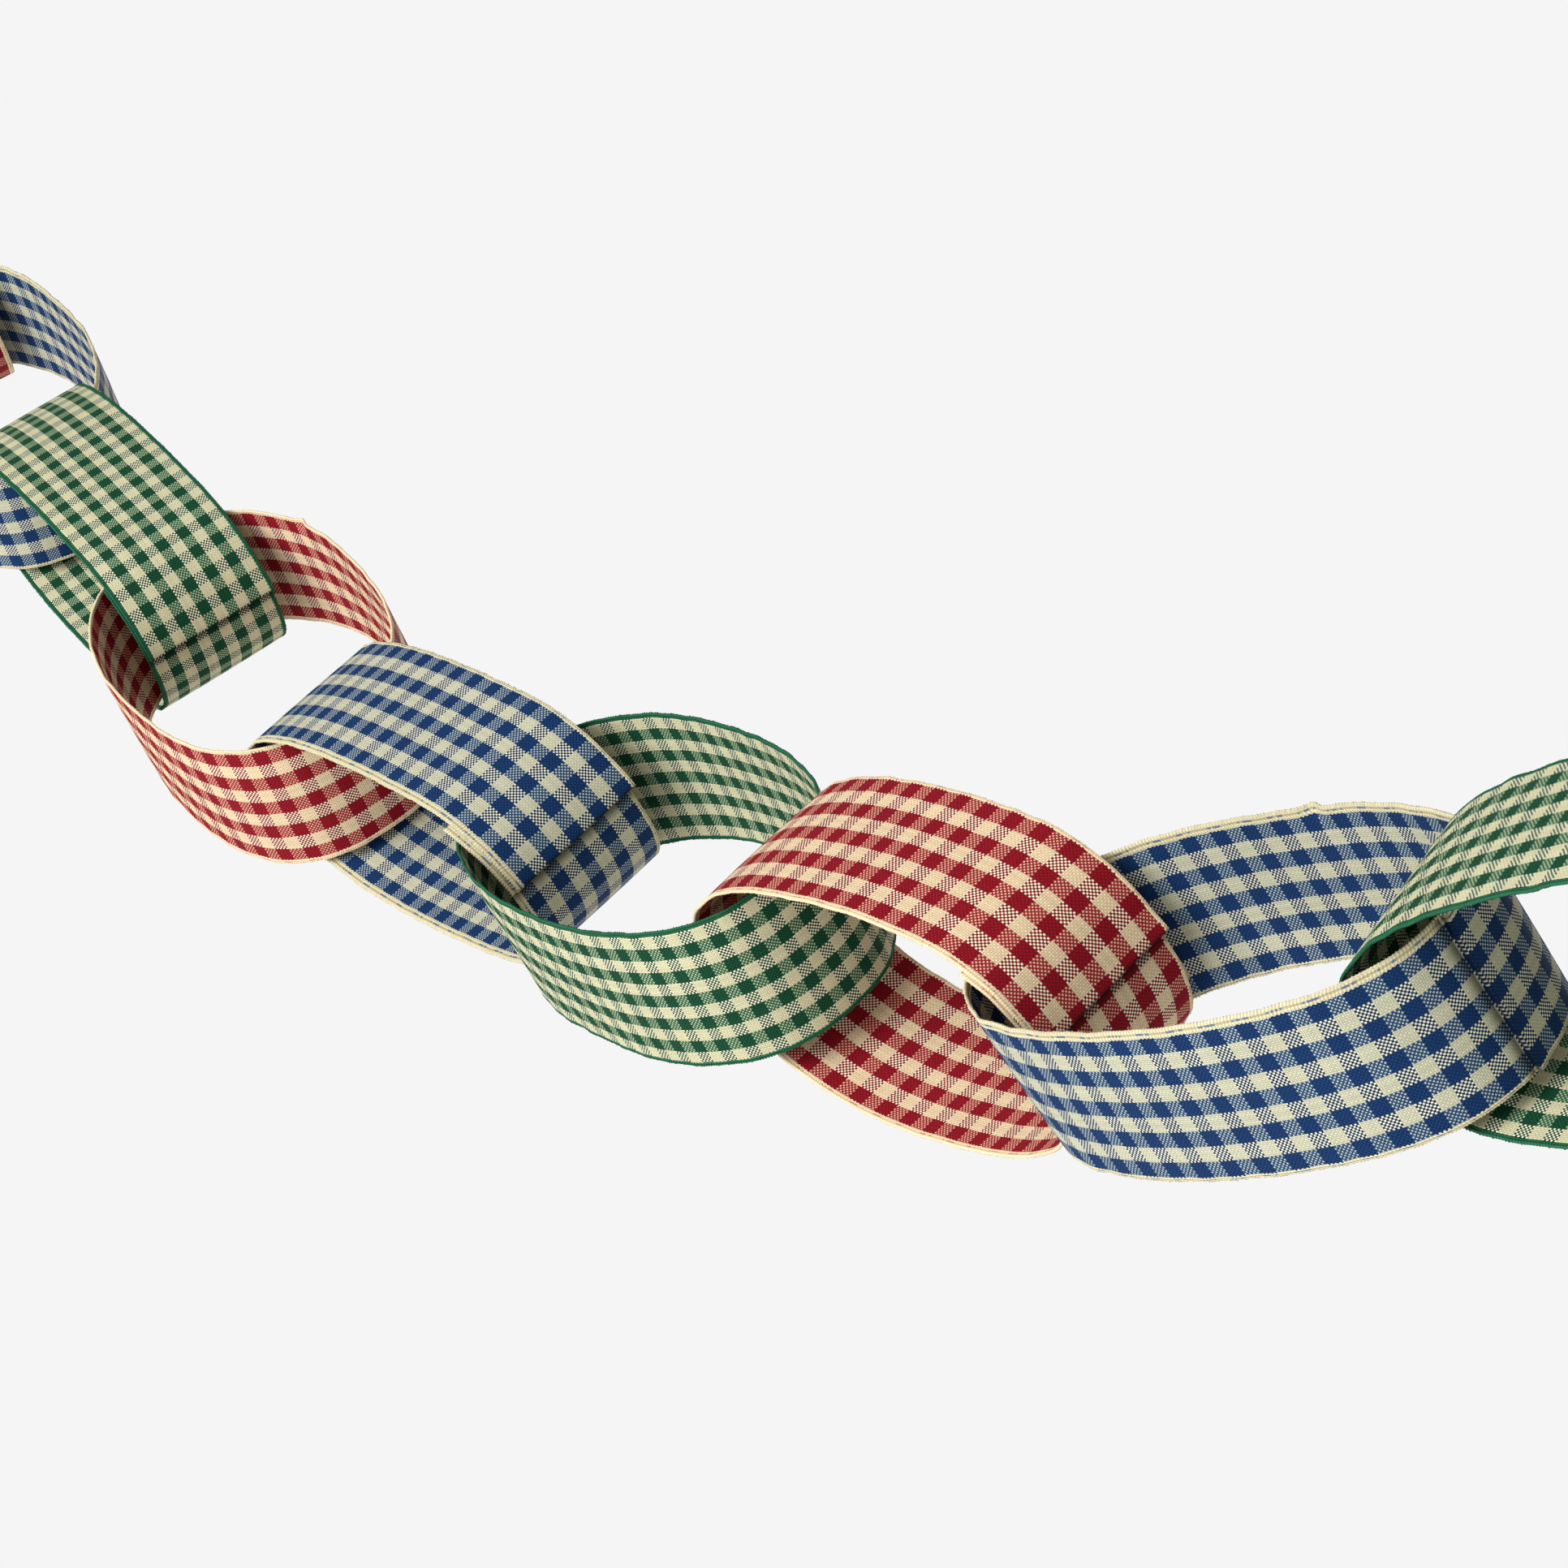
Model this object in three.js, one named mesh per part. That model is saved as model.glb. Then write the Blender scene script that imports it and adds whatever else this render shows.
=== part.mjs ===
// A chain garland of gingham ribbon. Nine strips, each bent into a loop through the one before
// it, lapped, its cut end hemmed under, and taped shut. The chain hangs as the left half of a
// swag, from its upper end down to its lowest point.
//
// Millimetres and degrees, +Z up, +X along the swag to its low end, the front towards -Y. The
// origin is where a hook bears, inside the far end of the upper end loop.
import * as THREE from "three";

const ribbonWidth = 25;
const ribbonThickness = 0.4;
const loopLength = 202; // once round a closed loop, along the middle of the ribbon
const lapLength = 16; // how far the outer end lies over the inner one
const hemLength = 6; // the cut end of the outer layer, turned under
const layerGap = 0.1; // between two layers that lie on each other
const tapeWidth = 21;
const tapeMargin = 1; // between the tape and the hem, and the tape and the inner cut end
const settleLength = 15; // past the lap, where the ribbon comes down from the outer layer
const squareness = 2.4; // 2 makes a loop an ellipse, and more flattens its ends and sides
const swagRadius = 590; // of the catenary's lowest bend
const stepLength = 3; // between the points of a loop's outline
const lengthTolerance = 1e-4;

// One entry for each loop, from the upper end down. depth is the loop's size across the chain.
// roll, yaw and tilt are how far it hangs off true: about the chain, its low end to the front,
// and its low end down. lift is how far its middle sits above the swag's line, and play is what
// is left between its band and the next one where they hook, so the last has none. seam is where
// the hemmed edge shows, as an angle round the loop from its low end over its front band, and
// lapSide is +1 where the outer layer lies beyond that angle.
const links = [
  { ribbon: "red", depth: 42, roll: 0, yaw: 0, tilt: 1, lift: 0, play: 5, seam: 30, lapSide: 1 },
  { ribbon: "blue", depth: 43, roll: 1, yaw: 0, tilt: -2, lift: 0.5, play: 5, seam: 165, lapSide: 1 },
  { ribbon: "green", depth: 39, roll: 0, yaw: -1, tilt: 0, lift: 2, play: 5, seam: 4, lapSide: 1 },
  { ribbon: "red", depth: 46, roll: -3, yaw: 1, tilt: 4, lift: 0, play: 5, seam: 165, lapSide: 1 },
  { ribbon: "blue", depth: 39, roll: -6, yaw: 0, tilt: -3, lift: 0, play: 5, seam: 8, lapSide: 1 },
  { ribbon: "green", depth: 44, roll: -4, yaw: 3, tilt: 2, lift: 1.5, play: 5, seam: 165, lapSide: 1 },
  { ribbon: "red", depth: 45, roll: -4, yaw: 2, tilt: 2, lift: -0.5, play: 5, seam: 4, lapSide: 1 },
  { ribbon: "blue", depth: 43, roll: -5, yaw: -4, tilt: -5, lift: -0.5, play: 5, seam: 8, lapSide: -1 },
  { ribbon: "green", depth: 40, roll: -7, yaw: 6, tilt: -1, lift: 2, play: 0, seam: 30, lapSide: 1 },
];

const ribbonColors = { red: "#a5273a", blue: "#274a86", green: "#2c6b4c" };
const ribbonRoughness = 0.8;
const tapeColor = "#efe9dc";
const tapeRoughness = 0.5;

const layerStep = ribbonThickness + layerGap;

function point(x, y) {
  return new THREE.Vector2(x, y);
}

function signedPower(value, exponent) {
  return Math.sign(value) * Math.abs(value) ** exponent;
}

// A closed oval round the middle of the ribbon, starting at its low end and going over the front.
function ovalPoints(halfLength, halfDepth) {
  const count = 360;
  const exponent = 2 / squareness;
  return Array.from({ length: count }, (_, i) => {
    const angle = (2 * Math.PI * i) / count;
    return point(
      halfLength * signedPower(Math.cos(angle), exponent),
      halfDepth * signedPower(Math.sin(angle), exponent),
    );
  });
}

function closedLength(points) {
  return points.reduce((sum, p, i) => sum + p.distanceTo(points[(i + 1) % points.length]), 0);
}

// Every strip is cut to one length, so a deeper loop hangs shorter.
function halfLengthFor(halfDepth) {
  let low = halfDepth;
  let high = loopLength / 2;
  while (high - low > lengthTolerance) {
    const middle = (low + high) / 2;
    if (closedLength(ovalPoints(middle, halfDepth)) > loopLength) high = middle;
    else low = middle;
  }
  return low;
}

// How far the end of a loop bows out over the width of the band that hooks it.
function endBow(halfLength, halfDepth) {
  const across = ribbonWidth / 2 / halfDepth;
  return halfLength * (1 - (1 - across ** squareness) ** (1 / squareness));
}

// The oval as a curve by length, measured from the seam towards the lap.
function seamCurve(loop) {
  const oval = ovalPoints(loop.halfLength, loop.halfDepth);
  const start = Math.round((loop.seam / 360) * oval.length);
  const ordered = oval.map((_, i) => {
    const index = start + loop.lapSide * i;
    return oval[(index + oval.length) % oval.length];
  });
  const curve = new THREE.CatmullRomCurve3(
    ordered.map((p) => new THREE.Vector3(p.x, p.y, 0)),
    true,
  );
  curve.arcLengthDivisions = 2000;
  return curve;
}

// A point at a length along the loop and a height off the oval, positive outwards.
function onLoop(curve, lapSide, along, height) {
  const share = THREE.MathUtils.euclideanModulo(along / loopLength, 1);
  const place = curve.getPointAt(share);
  const tangent = curve.getTangentAt(share);
  return point(
    place.x + lapSide * tangent.y * height,
    place.y - lapSide * tangent.x * height,
  );
}

// The ribbon's outer layer comes down to the inner one just past the lap.
function layerHeight(along) {
  return layerStep * (1 - 2 * THREE.MathUtils.smoothstep(along, lapLength, lapLength + settleLength));
}

function lengthSteps(from, to) {
  const count = Math.ceil(Math.abs(to - from) / stepLength);
  return Array.from({ length: count + 1 }, (_, i) => from + ((to - from) * i) / count);
}

// A band between two heights over a stretch of the loop, as [outer side, inner side].
function bandSides(alongs, heightAt, thickness, place) {
  return [thickness / 2, -thickness / 2].map((side) =>
    alongs.map((along) => place(along, heightAt(along) + side)),
  );
}

// The strip seen from its edge: the hem, its fold, then once round and on under the lap.
function stripShape(loop, curve) {
  const place = (along, height) => onLoop(curve, loop.lapSide, along, height);
  const foldCentre = layerStep / 2;
  const flatStart = layerStep / 2 + ribbonThickness / 2;
  const run = [
    ...lengthSteps(flatStart, lapLength),
    ...lengthSteps(lapLength, loopLength + lapLength).slice(1),
  ];
  const [runOuter, runInner] = bandSides(run, layerHeight, ribbonThickness, place);
  const hem = lengthSteps(hemLength, flatStart);
  const [hemOuter, hemInner] = bandSides(hem, () => 0, ribbonThickness, place);
  const foldArc = (radius) =>
    [0.25, 0.5, 0.75].map((share) => {
      const angle = Math.PI * share;
      return place(flatStart - radius * Math.sin(angle), foldCentre - radius * Math.cos(angle));
    });
  const outerArc = foldArc(layerStep / 2 + ribbonThickness / 2);
  const innerArc = foldArc(layerStep / 2 - ribbonThickness / 2);
  return new THREE.Shape([
    ...hemInner,
    ...outerArc,
    ...runOuter,
    ...runInner.reverse(),
    ...innerArc.reverse(),
    ...hemOuter.reverse(),
  ]);
}

// The double-sided tape fills the rest of the lap, level with the hem.
function tapeShape(loop, curve) {
  const place = (along, height) => onLoop(curve, loop.lapSide, along, height);
  const alongs = lengthSteps(hemLength + tapeMargin, lapLength - tapeMargin);
  const [outer, inner] = bandSides(alongs, () => 0, ribbonThickness, place);
  return new THREE.Shape([...outer, ...inner.reverse()]);
}

function bandMesh(name, shape, width, color, roughness) {
  const geometry = new THREE.ExtrudeGeometry(shape, { depth: width, bevelEnabled: false });
  geometry.translate(0, 0, -width / 2);
  const material = new THREE.MeshStandardMaterial({ color, roughness, metalness: 0 });
  const mesh = new THREE.Mesh(geometry, material);
  mesh.name = name;
  return mesh;
}

function makeLink(loop, number) {
  const curve = seamCurve(loop);
  const ribbonName = `ribbon_${number}_${loop.ribbon}`;
  const ribbonColor = ribbonColors[loop.ribbon];
  const strip = stripShape(loop, curve);
  const tape = tapeShape(loop, curve);
  const group = new THREE.Group();
  group.add(bandMesh(ribbonName, strip, ribbonWidth, ribbonColor, ribbonRoughness));
  group.add(bandMesh(`seam_tape_${number}`, tape, tapeWidth, tapeColor, tapeRoughness));
  return group;
}

// Each loop is turned a quarter turn from its neighbours, so odd ones face up and even ones down.
function turnLink(group, loop, number) {
  const quarterLean = number % 2 === 1 ? 45 : -45;
  group.rotation.set(
    THREE.MathUtils.degToRad(180 - quarterLean - loop.roll),
    THREE.MathUtils.degToRad(loop.tilt),
    THREE.MathUtils.degToRad(-loop.yaw),
    "ZYX",
  );
}

// A place on the catenary, by its length back from the lowest point.
function swagPlace(back) {
  const x = -swagRadius * Math.asinh(back / swagRadius);
  const z = swagRadius * (Math.cosh(x / swagRadius) - 1);
  return { x, z, slope: -Math.atan(back / swagRadius) };
}

function measured(link) {
  const halfDepth = link.depth / 2;
  const halfLength = halfLengthFor(halfDepth);
  return { ...link, halfDepth, halfLength, bow: endBow(halfLength, halfDepth) };
}

const loops = links.map(measured);

// Lengths back from the lowest point to the middle of each loop: neighbours hook bow to bow.
const backs = new Array(loops.length).fill(0);
for (let i = loops.length - 2; i >= 0; i -= 1) {
  const [upper, lower] = [loops[i], loops[i + 1]];
  const hooked = upper.bow + lower.bow + ribbonThickness + upper.play;
  backs[i] = backs[i + 1] + upper.halfLength + lower.halfLength - hooked;
}

const garland = new THREE.Group();
const placed = loops.map((loop, i) => {
  const number = i + 1;
  const { x, z, slope } = swagPlace(backs[i]);
  const seat = new THREE.Group();
  seat.position.set(x, 0, z);
  seat.rotation.y = -slope;
  const link = makeLink(loop, number);
  turnLink(link, loop, number);
  link.position.z = loop.lift;
  seat.add(link);
  garland.add(seat);
  return link;
});

// The origin moves to the inside of the upper end loop, at its far end.
garland.updateMatrixWorld(true);
const hookReach = loops[0].halfLength - layerStep - ribbonThickness / 2;
const hookPoint = placed[0].localToWorld(new THREE.Vector3(-hookReach, 0, 0));
garland.position.copy(hookPoint).negate();

export default garland;
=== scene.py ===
# A chain garland of gingham ribbon: nine woven loops with their selvedges, weft turns and tapes.
import math

import bmesh
import bpy
import numpy as np
from mathutils import Matrix, Vector


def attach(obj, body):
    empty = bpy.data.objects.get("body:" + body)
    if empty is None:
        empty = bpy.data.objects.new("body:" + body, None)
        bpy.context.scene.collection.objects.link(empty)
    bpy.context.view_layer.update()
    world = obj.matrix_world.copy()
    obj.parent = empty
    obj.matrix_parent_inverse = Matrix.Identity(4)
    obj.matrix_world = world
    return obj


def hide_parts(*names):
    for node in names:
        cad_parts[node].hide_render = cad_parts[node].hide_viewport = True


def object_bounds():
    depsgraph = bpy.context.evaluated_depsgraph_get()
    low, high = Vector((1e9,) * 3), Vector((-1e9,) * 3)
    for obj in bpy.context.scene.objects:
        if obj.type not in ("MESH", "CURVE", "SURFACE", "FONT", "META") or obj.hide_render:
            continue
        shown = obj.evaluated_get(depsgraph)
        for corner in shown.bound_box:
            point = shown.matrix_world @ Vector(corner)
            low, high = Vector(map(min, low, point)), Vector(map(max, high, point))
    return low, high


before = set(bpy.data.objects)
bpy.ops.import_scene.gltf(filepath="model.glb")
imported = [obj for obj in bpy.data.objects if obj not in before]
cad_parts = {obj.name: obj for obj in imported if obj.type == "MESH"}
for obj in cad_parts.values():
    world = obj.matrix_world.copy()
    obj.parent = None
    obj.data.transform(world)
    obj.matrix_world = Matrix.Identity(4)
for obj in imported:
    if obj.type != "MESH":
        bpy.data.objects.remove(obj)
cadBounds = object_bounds()
print("frame loaded:", len(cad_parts), "nodes")

mm = 0.001

# The camera looks up at the swag's low half from its low end's side.
cameraSettings = {
    "place": (0.8464, -0.4069, -0.3141),
    "turn": 51.85,  # degrees left of +Y
    "rise": 12.13,
    "roll": -2.85,
    "lens": 107.5,
    "sensorWidth": 36,
}

# What every loop shares. These sizes are the construction's own.
chain = {
    "width": 25 * mm,
    "thickness": 0.4 * mm,
    "loopLength": 202 * mm,
    "lapLength": 16 * mm,
    "hemLength": 6 * mm,
    "layerGap": 0.1 * mm,
    "tapeWidth": 21 * mm,
    "tapeMargin": 1 * mm,
    "settleLength": 15 * mm,
    "squareness": 2.4,
    "swagRadius": 590 * mm,
}
layerStep = chain["thickness"] + chain["layerGap"]
# how far from the folded edge the cloth lies flat again
flatStart = layerStep / 2 + chain["thickness"] / 2

# One entry for each loop, from the upper end down, in mm and degrees, as the construction has them.
linkKeys = ("ribbon", "depth", "roll", "yaw", "tilt", "lift", "play", "seam", "side")
links = [
    ("red", 42, 0, 0, 1, 0, 5, 30, 1),
    ("blue", 43, 1, 0, -2, 0.5, 5, 165, 1),
    ("green", 39, 0, -1, 0, 2, 5, 4, 1),
    ("red", 46, -3, 1, 4, 0, 5, 165, 1),
    ("blue", 39, -6, 0, -3, 0, 5, 8, 1),
    ("green", 44, -4, 3, 2, 1.5, 5, 165, 1),
    ("red", 45, -4, 2, 2, -0.5, 5, 4, 1),
    ("blue", 43, -5, -4, -5, -0.5, 5, 8, -1),
    ("green", 40, -7, 6, -1, 2, 0, 30, 1),
]

# How each colour of ribbon is woven. Its real thread is about 0.2 mm, and it is drawn at about
# 0.3 mm, the finest that still shows as thread. In a name, coloured and cream are squares of one
# yarn, a dot is the weft on top in a mixed square, and edge is the selvedge. checkStart is where
# the first check begins at the hem, in checks.
weaves = {
    "red": {
        "wideEdge": 0.9 * mm,
        "narrowEdge": 0.55 * mm,
        "groove": 0.03 * mm,
        "turnPitch": 0.42 * mm,
        "stripes": 9,
        "threads": 8,
        "checkAlong": 2.65 * mm,
        "checkStart": 0.11,
        "firstCream": False,
        "coloured": "#98192A",
        "colouredDark": "#7E101D",
        "cream": "#F0DAB8",
        "creamDark": "#E2C9A2",
        "creamBright": "#F7E9D1",
        "darkDot": "#841824",
        "mixed": "#9C2733",
        "paleDot": "#DFAE96",
        "edge": "#F1E0C1",
        "edgeDark": "#DCC49C",
        "edgeDash": "#BD9070",
        "sheen": "#E89090",
    },
    "blue": {
        "wideEdge": 1.35 * mm,
        "narrowEdge": 0.6 * mm,
        "groove": 0.09 * mm,
        "turnPitch": 0.5 * mm,
        "stripes": 9,
        "threads": 8,
        "checkAlong": 2.53 * mm,
        "checkStart": -0.25,
        "firstCream": False,
        "coloured": "#1A3E73",
        "colouredDark": "#132E57",
        "cream": "#CFD0B9",
        "creamDark": "#C0C0A7",
        "creamBright": "#DBDDCF",
        "darkDot": "#1B3050",
        "mixed": "#26466F",
        "paleDot": "#A9B6B8",
        "edge": "#E1DBBD",
        "edgeDark": "#B9B08C",
        "edgeDash": "#6C8092",
        "sheen": "#8FB0E8",
    },
    "green": {
        "wideEdge": 0.75 * mm,
        "narrowEdge": 0.65 * mm,
        "groove": 0.07 * mm,
        "turnPitch": 0.45 * mm,
        "stripes": 11,
        "threads": 7,
        "checkAlong": 2.15 * mm,
        "checkStart": 0.0,
        "firstCream": True,
        "coloured": "#1A5239",
        "colouredDark": "#123D29",
        "cream": "#D8D7B5",
        "creamDark": "#CBC8A3",
        "creamBright": "#E7E4CC",
        "darkDot": "#1F4D37",
        "mixed": "#2B6046",
        "paleDot": "#AFBC9C",
        "edge": "#2C6D50",
        "edgeDark": "#184B35",
        "edgeDash": "#153F2C",
        "sheen": "#90C8A8",
    },
}


def linearColor(hexColor):
    channels = [int(hexColor[i : i + 2], 16) / 255 for i in (1, 3, 5)]
    linear = [c / 12.92 if c <= 0.04045 else ((c + 0.055) / 1.055) ** 2.4 for c in channels]
    return (*linear, 1.0)


mathNode = "ShaderNodeMath"
mixNode = "ShaderNodeMix"


# Adds a node with its settings, values and links, and gives back one of its outputs.
def addNode(tree, kind, inputs=None, output=0, **settings):
    node = tree.nodes.new(kind)
    for name, value in settings.items():
        setattr(node, name, value)
    for key, value in (inputs or {}).items():
        if isinstance(value, bpy.types.NodeSocket):
            tree.links.new(value, node.inputs[key])
        else:
            node.inputs[key].default_value = value
    return node.outputs[output] if len(node.outputs) else None


# A loop lies in its own frame: x along the chain, y to its front and z across the ribbon.
def ovalAt(halfLength, halfDepth, count=2880):
    angle = np.linspace(0, 2 * math.pi, count + 1)
    power = 2 / chain["squareness"]
    x = halfLength * np.sign(np.cos(angle)) * np.abs(np.cos(angle)) ** power
    y = halfDepth * np.sign(np.sin(angle)) * np.abs(np.sin(angle)) ** power
    return x, y


def lengthAlong(x, y):
    return np.concatenate([[0], np.cumsum(np.hypot(np.diff(x), np.diff(y)))])


def halfLengthFor(halfDepth, tolerance=1e-7):
    low, high = halfDepth, chain["loopLength"] / 2
    while high - low > tolerance:
        middle = (low + high) / 2
        if lengthAlong(*ovalAt(middle, halfDepth))[-1] > chain["loopLength"]:
            high = middle
        else:
            low = middle
    return low


def endBow(halfLength, halfDepth):
    across = chain["width"] / 2 / halfDepth
    power = chain["squareness"]
    return halfLength * (1 - (1 - across**power) ** (1 / power))


def measured(number, values):
    link = dict(zip(linkKeys, values), number=number)
    halfDepth = link["depth"] * mm / 2
    halfLength = halfLengthFor(halfDepth)
    bow = endBow(halfLength, halfDepth)
    return {**link, "halfDepth": halfDepth, "halfLength": halfLength, "bow": bow}


def turned(loop):
    lean = 45 if loop["number"] % 2 == 1 else -45
    return (
        Matrix.Rotation(math.radians(-loop["yaw"]), 4, "Z")
        @ Matrix.Rotation(math.radians(loop["tilt"]), 4, "Y")
        @ Matrix.Rotation(math.radians(180 - lean - loop["roll"]), 4, "X")
    )


# Neighbours hook bow to bow along a catenary, and the origin is inside the upper end loop.
def placements(loops):
    radius = chain["swagRadius"]
    backs = [0.0] * len(loops)
    for i in range(len(loops) - 2, -1, -1):
        upper, lower = loops[i], loops[i + 1]
        hooked = upper["bow"] + lower["bow"] + chain["thickness"] + upper["play"] * mm
        backs[i] = backs[i + 1] + upper["halfLength"] + lower["halfLength"] - hooked
    matrices = []
    for loop, back in zip(loops, backs):
        x = -radius * math.asinh(back / radius)
        z = radius * (math.cosh(x / radius) - 1)
        seat = Matrix.Translation((x, 0, z)) @ Matrix.Rotation(math.atan(back / radius), 4, "Y")
        matrices.append(seat @ Matrix.Translation((0, 0, loop["lift"] * mm)) @ turned(loop))
    reach = loops[0]["halfLength"] - layerStep - chain["thickness"] / 2
    hook = matrices[0] @ Vector((-reach, 0, 0))
    return [Matrix.Translation(-hook) @ matrix for matrix in matrices]


loops = [measured(number, values) for number, values in enumerate(links, start=1)]
for placedLoop, matrix in zip(loops, placements(loops)):
    placedLoop["matrix"] = matrix
print("loops placed:", len(loops))


def smoothStep(value, low, high):
    share = np.clip((value - low) / (high - low), 0, 1)
    return share * share * (3 - 2 * share)


ribbonDetail = {
    "stepAlong": 0.8 * mm,
    "stepAcross": 0.85 * mm,
    "hemRows": 8,
    "foldRows": 9,
    "billow": 0.28 * mm,  # slow unevenness of the loop
    "billowWaves": range(2, 8),  # times round
    "billowSlant": 0.7,  # radians from the ribbon's middle to its edge, as a spread
    "ripple": 0.1 * mm,  # short waves along the selvedges
    "rippleWaves": (17, 23, 29, 37),
    "rippleSizes": (0.2, 0.6),
    "rippleFade": 4,  # a power, which keeps them near the selvedge
    "cup": 0.12 * mm,
    "cupMiddle": 0.3,  # raises the middle, so that the band stays centred
    "foldLift": 0.25 * mm,  # the folded edge stands a little off the layer below
    "cornerLift": 0.3 * mm,
    "cornerFade": 8,
    "foldReach": 2.0 * mm,
    "slipStart": 30 * mm,  # before the lap, where the under layer starts to slip sideways
    "puckerReach": 1.3 * mm,
    "puckerStart": 0.72,  # of the way from the ribbon's middle to its edge
    "seed": 70,
}

# How far the under layer has slipped sideways at each loop's lap, in mm.
lapSlips = [0.3, 0.4, 0.3, 0.3, 1.0, -0.4, 0.35, 0.5, 0.3]

# Which side of each loop has the ribbon's wide selvedge: -1 the upper one, +1 the lower one.
wideSides = [-1, -1, -1, 1, 1, 1, 1, -1, -1]

# Where a selvedge is pinched: the loop's number, the share of the way round from the seam, the
# selvedge (-1 upper, +1 lower) and the height of the pinch in mm.
puckers = [
    (8, 0.25, -1, 0.9),
    (4, 0.20, -1, 0.8),
    (8, 0.62, -1, 0.35),
    (5, 0.55, 1, 0.3),
]


# How far the cloth stands off its smooth loop, from shares round the loop and across the ribbon.
def unevenness(number, roundShare, acrossShare):
    rng = np.random.default_rng(ribbonDetail["seed"] + number)
    offset = np.zeros(np.broadcast(roundShare, acrossShare).shape)
    turn = 2 * math.pi * roundShare
    for wave in ribbonDetail["billowWaves"]:
        phase, slant = rng.uniform(0, 2 * math.pi), rng.normal(0, ribbonDetail["billowSlant"])
        bent = np.sin(wave * turn + phase + slant * acrossShare)
        offset = offset + ribbonDetail["billow"] / wave * bent
    for side in (-1, 1):
        nearEdge = np.clip(side * acrossShare, 0, 1) ** ribbonDetail["rippleFade"]
        for wave in ribbonDetail["rippleWaves"]:
            size, phase = rng.uniform(*ribbonDetail["rippleSizes"]), rng.uniform(0, 2 * math.pi)
            offset = offset + ribbonDetail["ripple"] * size * nearEdge * np.sin(wave * turn + phase)
    offset = offset - ribbonDetail["cup"] * (acrossShare**2 - ribbonDetail["cupMiddle"])
    for puckered, place, side, height in puckers:
        if puckered == number:
            distance = (roundShare % 1 - place) * chain["loopLength"] / ribbonDetail["puckerReach"]
            nearEdge = smoothStep(side * acrossShare, ribbonDetail["puckerStart"], 1.0)
            offset = offset + height * mm * nearEdge * np.exp(-(distance**2))
    return offset


# Points of the cloth, from lengths round the loop, heights off its oval and places across it.
def clothPoints(loop, along, height, across):
    acrossShare = across / (chain["width"] / 2)
    lift = unevenness(loop["number"], along / chain["loopLength"], acrossShare)
    nearFold = np.exp(-((along / ribbonDetail["foldReach"]) ** 2)) * np.clip(height / layerStep, 0, 1)
    nearCorner = acrossShare ** ribbonDetail["cornerFade"]
    lift = lift + nearFold * (ribbonDetail["foldLift"] + ribbonDetail["cornerLift"] * nearCorner)
    slipFrom = chain["loopLength"] - ribbonDetail["slipStart"]
    slipped = smoothStep(along, slipFrom, chain["loopLength"] + chain["lapLength"])
    sideways = across + lapSlips[loop["number"] - 1] * mm * slipped
    ovalX, ovalY = ovalAt(loop["halfLength"], loop["halfDepth"])
    lengths = lengthAlong(ovalX, ovalY)
    seamLength = np.interp(loop["seam"] / 360 * (len(ovalX) - 1), np.arange(len(ovalX)), lengths)
    place = (seamLength + loop["side"] * along) % chain["loopLength"] * lengths[-1] / chain["loopLength"]
    x, y = np.interp(place, lengths, ovalX), np.interp(place, lengths, ovalY)
    power = chain["squareness"] - 1
    outX = np.sign(x) * np.abs(x / loop["halfLength"]) ** power / loop["halfLength"]
    outY = np.sign(y) * np.abs(y / loop["halfDepth"]) ** power / loop["halfDepth"]
    off = (height + lift) / np.hypot(outX, outY)
    return np.stack(np.broadcast_arrays(x + outX * off, y + outY * off, sideways), axis=-1)


# The strip's middle, from its hemmed cut end round to its inner cut end.
def stripRoute():
    hem = np.linspace(chain["hemLength"], flatStart, ribbonDetail["hemRows"])
    foldAngle = np.linspace(0, math.pi, ribbonDetail["foldRows"] + 2)[1:-1]
    run = np.arange(flatStart, chain["loopLength"] + chain["lapLength"], ribbonDetail["stepAlong"])
    settled = smoothStep(run, chain["lapLength"], chain["lapLength"] + chain["settleLength"])
    along = np.concatenate([hem, flatStart - layerStep / 2 * np.sin(foldAngle), run])
    foldHeight = layerStep / 2 * (1 - np.cos(foldAngle))
    height = np.concatenate([0 * hem, foldHeight, layerStep * (1 - 2 * settled)])
    return along, height


# A selvedge is two cords with a groove between them. Places are shares of its width, from the
# outer edge in.
selvedgeShape = {
    "places": (0, 0.06, 0.16, 0.28, 0.4, 0.5, 0.6, 0.72, 0.84, 0.94, 1.03),  # closest in curves
    "bodyStart": 1.2,  # of the points between the selvedges
    "cords": 2,
    "thickness": 0.48 * mm,
    "dip": (0.98, 1.1),  # where the selvedge meets the body
    "dipDepth": 3,  # the groove is this many times as deep
    "roundedOuter": 0.25,
    "thinnest": 0.3,  # of the thickness, at the outer edge
}


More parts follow.
